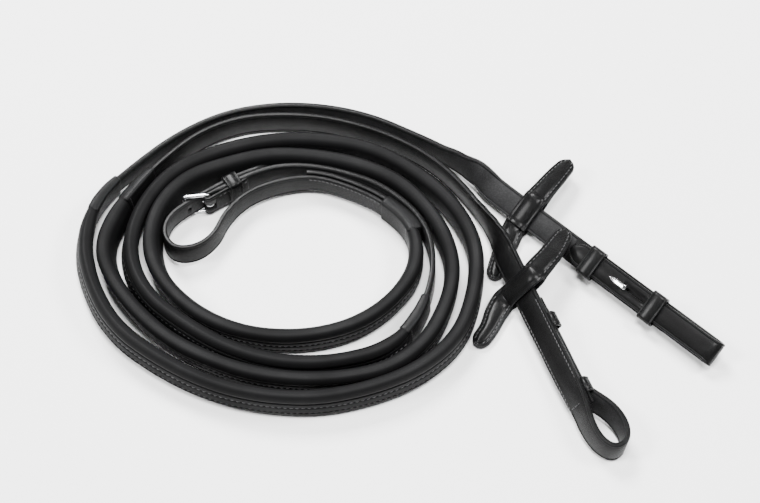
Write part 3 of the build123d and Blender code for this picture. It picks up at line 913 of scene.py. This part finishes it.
def billet(side):
    """The lining, keepers, hook stud and stitching of one billet."""
    facts = BILLETS[side]
    straight = Straight(facts)
    up = facts.side
    half = STRAP_THICKNESS / 2

    lining_middle = up * (half + LINING_TOP) / 2
    lining_section = rounded_section(STRAP_WIDTH, LINING_THICKNESS, 0.5 * MM)

    def lining_shape(distance):
        return scaled(lining_section, shift=lining_middle)

    lining = strip(
        f"{side}_lining_leather", straight, facts.tip, facts.tip + LINING_LENGTH, lining_shape
    )
    finish_piece(lining, [strap_leather], COIL, "bridle_leather", f"{side}_billet_lining")

    for distance, which in zip(KEEPER_PLACES, ("rear", "front")):
        low, high = sorted((up * (half + KEEPER_END), up * (BILLET_TOP + EASE)))
        keeper = band_loop(
            f"{side}_{which}_keeper_leather", straight.place(facts.tip + distance),
            STRAP_WIDTH / 2 + EASE, low, high, KEEPER_LENGTH, KEEPER_WALL,
        )
        finish_piece(
            keeper, [keeper_leather], COIL, "keeper_leather", f"{side}_billet_{which}_keeper"
        )

    spots = []
    for across in (STRAP_WIDTH / 2 - 1.9 * MM, -STRAP_WIDTH / 2 + 1.9 * MM):
        spots += row(
            straight, facts.tip + 2 * MM, facts.tip + LINING_LENGTH - 2 * MM,
            across, -up * half, -up, pitch=2.7 * MM,
        )
    spots += cross_row(straight, facts.tip + LINING_LENGTH - 3 * MM, 4 * MM, -up * half, -up)
    stitches(f"{side}_billet_stitches", spots, COIL, "bridle_leather")

    place = straight.place(facts.tip + STUD_PLACE)
    hook_middle = BILLET_TOP + 2 * EASE + STUD_HOOK_THICKNESS / 2
    reach = STUD_HOOK_LENGTH - STUD_NECK / 2
    hook_line = spline_points([
        moved(place, along=along, face=up * height) for along, height in (
            (0, half), (0, hook_middle * 0.6), (0.2 * MM, hook_middle + 0.3 * MM),
            (3 * MM, hook_middle + 0.1 * MM), (reach * 0.7, hook_middle - 0.2 * MM),
            (reach, hook_middle + 0.3 * MM),
        )
    ])
    last = len(hook_line) - 1
    hook_section = rounded_section(STUD_WIDTH, STUD_HOOK_THICKNESS, 0.6 * MM)

    def hook_shape(index):
        from_end = (last - index) / last
        return scaled(hook_section, pointed(from_end, 0.2), 0.7 + 0.3 * min(from_end * 4, 1))

    hook = bar_along(f"{side}_hook_steel", hook_line, place.across, hook_shape)
    finish_piece(hook, [steel], COIL, "polished_steel", f"{side}_hook_stud")


for side in BILLETS:
    billet(side)


# ---------------------------------------------------------------- rein stops

StopRow = namedtuple("StopRow", "place share gap")
STOP_EASE = 0.7 * MM
STOP_CLEARANCE = 0.3 * MM
STOP_STITCH_INSET = 2.1 * MM
STOP_TIP = 5.5 * MM
STOP_SWELL = 0.7 * MM


def station(x, y, z, heading, pitch, share, gap=0.0):
    """One section of a stop: where its middle is, where it heads, and how wide it is."""
    turn, climb = math.radians(heading), math.radians(pitch)
    level = math.cos(climb)
    travel = Vector((math.cos(turn) * level, math.sin(turn) * level, math.sin(climb)))
    across = left_of(heading)
    place = Place(Vector((x, y, z)) * MM, travel, across, travel.cross(across))
    return StopRow(place, share, gap * MM)


def crossing(billet, distance):
    """The two sections of a stop where it lies flat across its strap."""
    strap = billet_place(billet, distance)
    rows = []
    for side in (-1, 1):
        point = strap.point + strap.across * side * (STRAP_WIDTH / 2 + STOP_EASE)
        place = Place(point, strap.across, strap.travel, strap.face)
        rows.append(StopRow(place, 1, STRAP_THICKNESS / 2 + STOP_CLEARANCE))
    return rows


STOPS = {
    "right": [
        station(57.8, 0, 2.2, 65, 0, 0.7), station(60.2, 5.5, 2.2, 65, 0, 0.78),
        station(63.5, 15, 2.2, 66, 0, 0.86), station(67.5, 24, 2.2, 62, 2, 0.92),
        station(71.2, 33.6, 2.8, 50, 13, 0.97, 0.5),
        *crossing(RIGHT_BILLET, 0.025),
        station(87, 51.5, 14.0, 47, 20, 1, 0.6), station(92, 58, 14.5, 48, 3, 0.94),
        station(99, 67.5, 13.4, 50, -9, 0.88), station(104.5, 75, 11.9, 52, -12, 0.78),
        station(107.5, 79.5, 11.0, 54, -12, 0.68),
    ],
    "left": [
        station(46.5, -45.5, 2.2, 46, 0, 0.66), station(50.5, -41, 2.2, 52, 0, 0.78),
        station(55.2, -33.5, 2.2, 58, 0, 0.82), station(59.5, -23.5, 2.3, 56, 2, 0.95),
        station(63.8, -16.5, 3.4, 43, 20, 1, 0.6),
        *crossing(LEFT_BILLET, 0.023),
        station(83.5, -4.5, 20.8, 42, 12, 1, 0.6), station(91, 5.5, 20.2, 58, -12, 0.94),
        station(97, 16, 17.6, 61, -14, 0.84), station(100, 22, 16.2, 61, -14, 0.74),
        station(102, 26, 15.4, 61, -12, 0.66),
    ],
}


def through(values, position):
    """A smooth curve through evenly spaced values, read at a position counted in them."""
    index = min(int(position), len(values) - 2)
    share = position - index
    before, first = values[max(index - 1, 0)], values[index]
    second, after = values[index + 1], values[min(index + 2, len(values) - 1)]
    square, cube = share * share, share ** 3
    return (
        first * (2 * cube - 3 * square + 1) + second * (3 * square - 2 * cube)
        + (second - before) * (0.5 * (cube - 2 * square + share))
        + (after - first) * (0.5 * (cube - square))
    )


def rounded_tip(distance):
    """The share of a stop's width at a distance from its rounded tip."""
    share = min(distance / STOP_TIP, 1)
    return 0.12 + 0.88 * math.sqrt(1 - (1 - share) ** 2)


def stop_places(rows, steps=8):
    """Places close together along a stop, each with its width and half gap."""
    points = [row.place.point for row in rows]
    acrosses = [row.place.across for row in rows]
    made = []
    for index in range((len(rows) - 1) * steps + 1):
        position = index / steps
        point = through(points, position)
        ahead = through(points, min(position + 0.05, len(rows) - 1))
        behind = through(points, max(position - 0.05, 0))
        travel = (ahead - behind).normalized()
        gap = max(through([row.gap for row in rows], position), 0.0)
        point.z = max(point.z, STOP_LAYER + STOP_SWELL + gap)
        across = through(acrosses, position)
        across = (across - travel * across.dot(travel)).normalized()
        share = min(through([row.share for row in rows], position), 1.02)
        from_tip = min((point - tip).length for tip in (points[0], points[-1]))
        share *= rounded_tip(from_tip)
        place = Place(point, travel, across, travel.cross(across))
        made.append((place, STOP_WIDTH * share, gap))
    return made


def stop_section(width, gap, side):
    """One layer of a stop: flat inside, swelling outside, with a groove for its stitches."""
    half = width / 2
    line = half - STOP_STITCH_INSET
    spots = []
    samples = 22
    for step in range(samples + 1):
        across = half * math.cos(math.pi * step / samples)
        reach = abs(across) / half
        edge = (1 - reach ** 6) ** 0.5
        groove = 0.5 * MM * math.exp(-(((abs(across) - line) / (0.55 * MM)) ** 2))
        swell = STOP_SWELL * max(0.0, 1 - (across / max(line, MM)) ** 2)
        height = STOP_LAYER * (0.35 + 0.65 * edge) + swell - groove * min(half / (4 * MM), 1)
        spots.append(Spot(across, side * (gap + height), 1 - edge))
    for across in (-half * 0.96, 0.0, half * 0.96):
        spots.append(Spot(across, side * gap, 0.3))
    return spots


def stop_layer(name, places, side, body, node_name):
    """One leather layer of a stop, with rounded tips."""
    rings = [ring_at(place, stop_section(width, gap, side)) for place, width, gap in places]
    piece = skin(name, rings)
    finish_piece(piece, [stop_leather], body, "stop_leather", node_name)


def stop_spots(places, side, pitch=2.7 * MM):
    """Stitch spots down both edges of a stop's wings."""
    spots = []
    travelled = pitch
    for (first, _, _), (place, width, gap) in zip(places, places[1:]):
        travelled += (place.point - first.point).length
        if travelled < pitch or gap > 0.7 * MM or width < 2.6 * STOP_STITCH_INSET:
            continue
        travelled = 0.0
        for edge in (-1, 1):
            across = edge * (width / 2 - STOP_STITCH_INSET)
            height = side * (gap + STOP_LAYER * 0.88)
            middle = moved(place, across=across, face=height)
            spots.append((middle, place.travel, place.face * side))
    return spots


for side, rows in STOPS.items():
    body = f"{side}_rein_stop"
    places = stop_places(rows)
    stop_layer(f"{side}_stop_face_leather", places, 1, body, f"{body}_face")
    stop_layer(f"{side}_stop_back_leather", places, -1, body, f"{body}_back")
    dense = stop_places(rows, steps=16)
    spots = stop_spots(dense, 1) + stop_spots(dense, -1)
    stitches(f"{side}_stop_stitches", spots, body, "stop_leather")


# ---------------------------------------------------------------- grips and sleeves

GRIP_SECTION = grip_section(GRIP_HEIGHT, GRIP_THICKNESS)
SLEEVE_SECTION = rounded_section(SLEEVE_HEIGHT, SLEEVE_THICKNESS, 1.9 * MM)
HALF_SLEEVE = 14 * MM


def grip(side, course, front, rear):
    """One rein's soft grip, a little uneven along its length and drawn in at its ends."""
    def shape(distance):
        drawn = smooth(min(distance - front, rear - distance), 0, 16 * MM)
        uneven = noise.noise(course.point(distance) * 45.0) * 0.04
        return scaled(GRIP_SECTION, 0.965 + 0.035 * drawn, 0.84 + 0.16 * drawn + uneven)

    piece = strip(f"{side}_soft_grip", course, front, rear, shape, soft_end=1.4 * MM)
    finish_piece(piece, [grip_leather], COIL, "soft_grip", f"{side}_grip_cover")
    spots = []
    for across in GRIP_ROWS:
        spots += row(
            course, front + 4 * MM, rear - 4 * MM, across, -GRIP_THICKNESS / 2 + 0.45 * MM, -1,
            pitch=3.3 * MM,
        )
    stitches(f"{side}_grip_stitches", spots, COIL, "soft_grip")


def sleeve(name, course, middle, thin_end, shift=0.0, extra=0.0):
    """A leather sleeve sewn round the strap.  It is thinner at its thin end, -1 or 1."""
    start, end = middle - HALF_SLEEVE, middle + HALF_SLEEVE

    def shape(distance):
        share = 0.5 + thin_end * (distance - middle) / (2 * HALF_SLEEVE)
        face = 1 - 0.26 * share * share + extra / SLEEVE_THICKNESS
        uneven = noise.noise(course.point(distance) * 140.0) * 0.06
        return scaled(SLEEVE_SECTION, 1.0 - 0.02 * share, face + uneven, shift)

    piece = strip(
        name + "_leather", course, start, end, shape, spacing=1.2 * MM, soft_end=0.8 * MM
    )
    finish_piece(piece, [sleeve_leather], COIL, "bridle_leather", name)
    spots = []
    sewn = middle - thin_end * (HALF_SLEEVE - 3 * MM)
    half = (SLEEVE_THICKNESS * 0.985 + extra) / 2
    for side in (-1, 1):
        spots += cross_row(course, sewn, 6.5 * MM, shift + side * half, side)
    return spots


for side, course, behind in (
    ("right", right_course, right_course.length - 0.45),
    ("left", left_course, left_course.length - 0.35),
):
    front = course.nearest(middle_of(f"{side}_front_sleeve"), 0.25)
    rear = course.nearest(middle_of(f"{side}_rear_sleeve"), behind)
    grip(side, course, front + HALF_SLEEVE - MM, rear - HALF_SLEEVE + MM)
    lap = side == "left"
    spots = sleeve(f"{side}_front_sleeve", course, front, -1)
    spots += sleeve(
        f"{side}_rear_sleeve", course, rear, 1,
        shift=lap_aside / 2 if lap else 0.0, extra=2.4 * MM if lap else 0.0,
    )
    stitches(f"{side}_sleeve_stitches", spots, COIL, "bridle_leather")


# ---------------------------------------------------------------- point strap and buckle

POINT_SECTION = rounded_section(POINT_WIDTH, POINT_THICKNESS, 0.8 * MM, crease=1.6 * MM)


def point_shape(distance):
    return scaled(POINT_SECTION, pointed(left_course.length - distance, 9 * MM))


def hole(distance):
    """A round punch through the point strap."""
    place = left_course.place(distance)
    ends = [moved(place, face=side * 4 * MM) for side in (-1, 1)]
    return bar_along("hole", ends, UP, lambda index: disc_section(HOLE_RADIUS, 16))


point_strap = strip(
    "point_strap_leather", left_course, left_rear, left_course.length, point_shape, back=-1
)
tongue_hole = left_course.length - TONGUE_HOLE
cut(point_strap, *(hole(tongue_hole + count * HOLE_SPACING) for count in (-1, 0, 1, 2)))
finish_piece(
    point_strap, [strap_leather, flesh_side], COIL, "bridle_leather", "point_strap"
)

lap_spots = []
for across in (-5.2 * MM, 5.2 * MM):
    for height, side in ((POINT_THICKNESS / 2, 1), (lap_aside - STRAP_THICKNESS / 2, -1)):
        lap_spots += row(
            left_course, left_rear + HALF_SLEEVE + 2 * MM, lap_end - 3 * MM, across, height,
            side, pitch=2.7 * MM,
        )
chape_spots = []
for across in (-5.6 * MM, 5.6 * MM):
    chape_spots += row(
        right_course, right_course.length - CHAPE_LENGTH * 0.75, right_course.length - 2 * MM,
        across, -STRAP_THICKNESS * 0.275, -1, pitch=2.7 * MM,
    )
stitches("rear_end_stitches", lap_spots + chape_spots, COIL, "bridle_leather")

keeper_distance = right_course.nearest(
    middle_of("buckle_keeper"), right_course.length - 0.09, reach=0.05
)
buckle_keeper = band_loop(
    "buckle_keeper_leather", right_course.place(keeper_distance), STRAP_WIDTH / 2 + EASE,
    -STRAP_THICKNESS / 2 - POINT_THICKNESS - 3.5 * EASE, STRAP_THICKNESS / 2 + CHAPE_LAYER,
    LOOP_KEEPER_LENGTH, LOOP_KEEPER_WALL,
)
finish_piece(buckle_keeper, [keeper_leather], COIL, "keeper_leather", "buckle_keeper")


def buckle_tongue():
    """The tongue: a tapered wire whose eye is bent round the bar."""
    turn = math.radians(BUCKLE_HEADING)
    along = Vector((math.cos(turn), math.sin(turn), 0))
    outward = Vector((math.sin(turn), -math.cos(turn), 0))
    radius = TONGUE_WIRE / 2
    eye = BUCKLE_WIRE / 2 + 0.1 * MM + radius
    points = []
    for step in range(24):
        angle = math.radians(290 * (1 - step / 24))
        points.append(
            buckle_bar + outward * (eye * math.cos(angle)) - along * (eye * math.sin(angle))
        )
    for step in range(21):
        share = step / 20
        sag = 0.35 * MM * math.sin(math.pi * share)
        points.append(
            buckle_bar + outward * (eye - sag) + along * (TONGUE_LENGTH * share)
        )
    last = len(points) - 1

    def shape(index):
        from_end = (last - index) / last
        return disc_section(radius * (0.62 + 0.38 * min(from_end * 2.2, 1)))

    piece = bar_along("buckle_tongue_steel", points, UP, shape)
    finish_piece(piece, [steel], "buckle_tongue", "polished_steel", "buckle_tongue")


buckle_tongue()
buckle_frame = frame["nodes"]["buckle_frame"]
buckle_frame.data.materials.clear()
buckle_frame.data.materials.append(steel)


# ---------------------------------------------------------------- floor, light and camera

FLOOR_REACH = 6.0


def white_floor():
    """A plain pale floor with the faintest unevenness."""
    material, tree, shader, coordinates = new_material("floor_white")
    tone = noise_map(tree, coordinates, 3.0)
    tree.links.new(blended(tree, tone, (0.95,) * 3, (0.97,) * 3), shader.inputs["Base Color"])
    shader.inputs["Roughness"].default_value = 0.9
    mesh = bpy.data.meshes.new("floor")
    signs = ((-1, -1), (1, -1), (1, 1), (-1, 1))
    corners = [(x * FLOOR_REACH, y * FLOOR_REACH, 0) for x, y in signs]
    mesh.from_pydata(corners, [], [(0, 1, 2, 3)])
    mesh.materials.append(material)
    floor = bpy.data.objects.new("floor", mesh)
    bpy.context.scene.collection.objects.link(floor)


def softbox(name, place, size, power):
    """A square area light that points at the middle of the floor."""
    data = bpy.data.lights.new(name, "AREA")
    data.size = size
    data.energy = power
    lamp = bpy.data.objects.new(name, data)
    bpy.context.scene.collection.objects.link(lamp)
    lamp.location = place
    lamp.rotation_mode = "QUATERNION"
    lamp.rotation_quaternion = (-Vector(place)).to_track_quat("-Z", "Y")


white_floor()
world = bpy.data.worlds.new("studio")
world.use_nodes = True
world.node_tree.nodes["Background"].inputs["Color"].default_value = (1, 1, 1, 1)
world.node_tree.nodes["Background"].inputs["Strength"].default_value = 0.16
bpy.context.scene.world = world
softbox("back_light", (-0.35, 0.9, 1.2), 0.5, 52)
softbox("right_light", (1.1, 0.2, 1.3), 0.5, 32)
softbox("left_light", (-1.2, -0.2, 1.3), 0.5, 32)
softbox("overhead_light", (0.1, -0.15, 1.9), 0.6, 62)

TARGET = Vector((-0.009, 0.021, 0))
ELEVATION = math.radians(57)
DISTANCE = 1.1
camera_data = bpy.data.cameras.new("camera")
camera_data.sensor_width = 36
camera_data.lens = 86.5
camera = bpy.data.objects.new("camera", camera_data)
bpy.context.scene.collection.objects.link(camera)
camera.location = TARGET + DISTANCE * Vector((0, -math.cos(ELEVATION), math.sin(ELEVATION)))
camera.rotation_euler = (math.pi / 2 - ELEVATION, 0, 0)
bpy.context.scene.camera = camera
